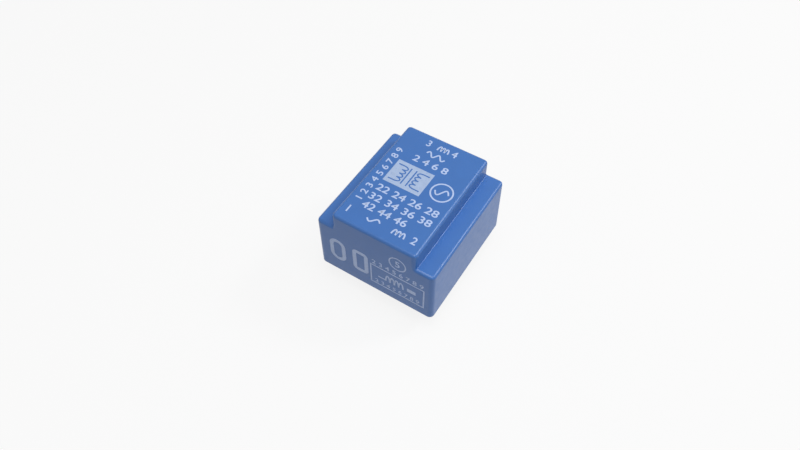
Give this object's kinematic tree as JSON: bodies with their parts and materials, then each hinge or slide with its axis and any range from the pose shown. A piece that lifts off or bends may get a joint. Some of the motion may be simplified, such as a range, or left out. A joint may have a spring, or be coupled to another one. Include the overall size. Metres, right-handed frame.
{
  "type": "pcb transformer",
  "caption": "Encapsulated mains transformer for a circuit board: stepped blue housing, cast resin underside, laminated core, two windings and solder pins.",
  "frame": {"origin": "middle of the board seat, on the plane of the housing's rim", "axes": "+X along the pin rows, +Y from the primary row to the secondary row, +Z from the board up through the housing"},
  "size_m": [0.022, 0.0232, 0.0187],
  "materials": {
    "housing_plastic": "satin moulded thermoplastic",
    "print_ink": "matt pale ink",
    "potting_resin": "cast resin, slightly wavy",
    "bobbin_plastic": "glass-filled moulded plastic",
    "copper_wire": "enamelled copper",
    "insulation_tape": "polyester tape",
    "core_steel": "rolled electrical steel",
    "tinned_pin": "tinned, slightly dull",
    "solder": "soldered"
  },
  "bodies": {
    "root": {"bobbin": "bobbin_plastic", "front_lamination_01": "core_steel", "front_lamination_02": "core_steel", "front_lamination_03": "core_steel", "front_lamination_04": "core_steel", "front_lamination_05": "core_steel", "front_lamination_06": "core_steel", "front_lamination_07": "core_steel", "front_lamination_08": "core_steel", "front_lamination_09": "core_steel", "front_lamination_10": "core_steel", "front_lamination_11": "core_steel", "front_lamination_12": "core_steel", "front_print": "print_ink", "housing": "housing_plastic", "potting_compound": "potting_resin", "primary_lead_1": "copper_wire", "primary_lead_2": "copper_wire", "primary_pin_1": "tinned_pin", "primary_pin_2": "tinned_pin", "primary_solder_1": "solder", "primary_solder_2": "solder", "primary_tape": "insulation_tape", "primary_winding": "copper_wire", "rear_lamination_01": "core_steel", "rear_lamination_02": "core_steel", "rear_lamination_03": "core_steel", "rear_lamination_04": "core_steel", "rear_lamination_05": "core_steel", "rear_lamination_06": "core_steel", "rear_lamination_07": "core_steel", "rear_lamination_08": "core_steel", "rear_lamination_09": "core_steel", "rear_lamination_10": "core_steel", "rear_lamination_11": "core_steel", "rear_lamination_12": "core_steel", "secondary_lead_1": "copper_wire", "secondary_lead_2": "copper_wire", "secondary_pin_1": "tinned_pin", "secondary_pin_2": "tinned_pin", "secondary_solder_1": "solder", "secondary_solder_2": "solder", "secondary_tape": "insulation_tape", "secondary_winding": "copper_wire", "top_print": "print_ink"}
  },
  "joints": []
}
